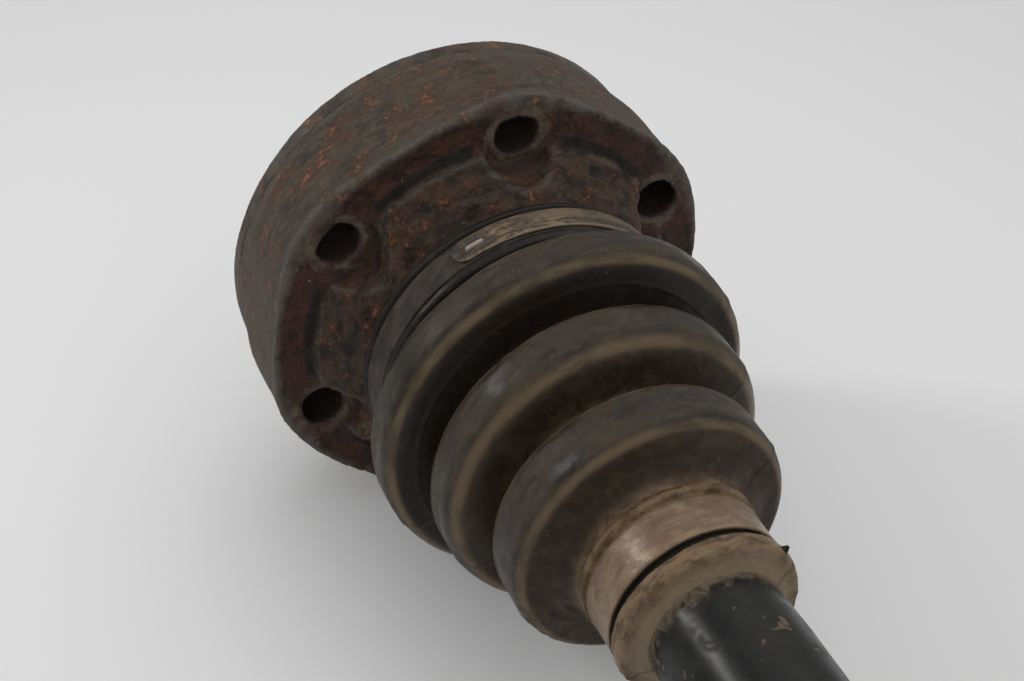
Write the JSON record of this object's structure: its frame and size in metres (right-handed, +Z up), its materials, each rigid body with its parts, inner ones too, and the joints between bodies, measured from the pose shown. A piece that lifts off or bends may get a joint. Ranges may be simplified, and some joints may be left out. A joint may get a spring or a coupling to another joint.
{
  "type": "cv axle",
  "caption": "Drive axle: a bolt-on plunging ball joint, a steel bar in rubber boots and a fixed ball joint with a splined stub.",
  "frame": {"origin": "centre of the inner joint's mounting face, on the axle's axis", "axes": "+X along the axle from the mounting face towards the outer stub, +Z up, +Y to the side"},
  "size_m": [0.5954, 0.1108, 0.112],
  "materials": {
    "rusty_forging": "rough forged steel with old rust",
    "cap_steel": "pressed sheet steel, dull and stained",
    "gasket_paper": "pressed fibre gasket",
    "boot_rubber": "black rubber with dried dust",
    "clamp_steel": "dirty steel band",
    "ground_steel": "ground and hardened steel, greased",
    "cage_steel": "phosphated steel, greased",
    "spring_steel": "blued spring steel",
    "bar_paint": "glossy black paint, chipped",
    "bell_steel": "machined steel with light rust",
    "ring_steel": "sintered steel, lightly rusted"
  },
  "bodies": {
    "inner_joint": {"inner_joint_housing": "rusty_forging", "inner_end_cap": "cap_steel", "inner_cap_gasket": "gasket_paper", "inner_boot_large_clamp": "clamp_steel"},
    "inner_bellows": {"inner_boot": "boot_rubber"},
    "inner_lead_ball": {"inner_ball_2": "ground_steel"},
    "inner_cage": {"inner_cage": "cage_steel", "inner_ball_1": "ground_steel", "inner_ball_3": "ground_steel", "inner_ball_4": "ground_steel", "inner_ball_6": "ground_steel"},
    "inner_trail_ball": {"inner_ball_5": "ground_steel"},
    "shaft": {"axle_shaft": "bar_paint", "inner_race": "ground_steel", "inner_race_circlip": "spring_steel", "inner_dished_washer": "spring_steel", "inner_boot_small_clamp": "clamp_steel", "outer_race": "ground_steel", "outer_race_circlip": "spring_steel", "outer_dished_washer": "spring_steel", "outer_boot_small_clamp": "clamp_steel", "outer_boot": "boot_rubber"},
    "outer_lead_ball": {"outer_ball_2": "ground_steel"},
    "outer_cage": {"outer_cage": "cage_steel", "outer_ball_1": "ground_steel", "outer_ball_3": "ground_steel", "outer_ball_4": "ground_steel", "outer_ball_6": "ground_steel"},
    "outer_trail_ball": {"outer_ball_5": "ground_steel"},
    "outer_joint": {"outer_joint_bell": "bell_steel", "abs_tone_ring": "ring_steel", "outer_dust_shield": "cap_steel", "outer_boot_large_clamp": "clamp_steel"}
  },
  "joints": [
    {"name": "inner_swing_near", "type": "hinge", "parent": "shaft", "child": "inner_lead_ball", "pos_m": [0.0155, 0, 0], "axis": [0, 0.1438, 0.9896], "range_deg": [-6.5, 6.5]},
    {"name": "inner_lift_near", "type": "hinge", "parent": "inner_lead_ball", "child": "inner_cage", "pos_m": [0.0155, 0, 0], "axis": [0, 0.9896, -0.1438], "range_deg": [-6.5, 6.5]},
    {"name": "inner_lift_far", "type": "hinge", "parent": "inner_cage", "child": "inner_trail_ball", "pos_m": [0.0155, 0, 0], "axis": [0, 0.9896, -0.1438], "range_deg": [-6.5, 6.5]},
    {"name": "inner_swing_far", "type": "hinge", "parent": "inner_trail_ball", "child": "inner_bellows", "pos_m": [0.0155, 0, 0], "axis": [0, 0.1438, 0.9896], "range_deg": [-6.5, 6.5]},
    {"name": "inner_plunge", "type": "slide", "parent": "inner_bellows", "child": "inner_joint", "axis": [1, 0, 0], "range_m": [-0.008, 0.008], "deforming": ["inner_boot"]},
    {"name": "outer_swing_near", "type": "hinge", "parent": "shaft", "child": "outer_lead_ball", "pos_m": [0.47, 0, 0], "axis": [0, 0.1438, 0.9896], "range_deg": [-13, 13], "deforming": ["outer_boot"]},
    {"name": "outer_lift_near", "type": "hinge", "parent": "outer_lead_ball", "child": "outer_cage", "pos_m": [0.47, 0, 0], "axis": [0, 0.9896, -0.1438], "range_deg": [-13, 13]},
    {"name": "outer_lift_far", "type": "hinge", "parent": "outer_cage", "child": "outer_trail_ball", "pos_m": [0.47, 0, 0], "axis": [0, 0.9896, -0.1438], "range_deg": [-13, 13]},
    {"name": "outer_swing_far", "type": "hinge", "parent": "outer_trail_ball", "child": "outer_joint", "pos_m": [0.47, 0, 0], "axis": [0, 0.1438, 0.9896], "range_deg": [-13, 13]}
  ],
  "couplings": [
    {"joint": "inner_lift_far", "follows": "inner_lift_near", "ratio": 1},
    {"joint": "inner_swing_far", "follows": "inner_swing_near", "ratio": 1},
    {"joint": "outer_lift_far", "follows": "outer_lift_near", "ratio": 1},
    {"joint": "outer_swing_far", "follows": "outer_swing_near", "ratio": 1}
  ]
}
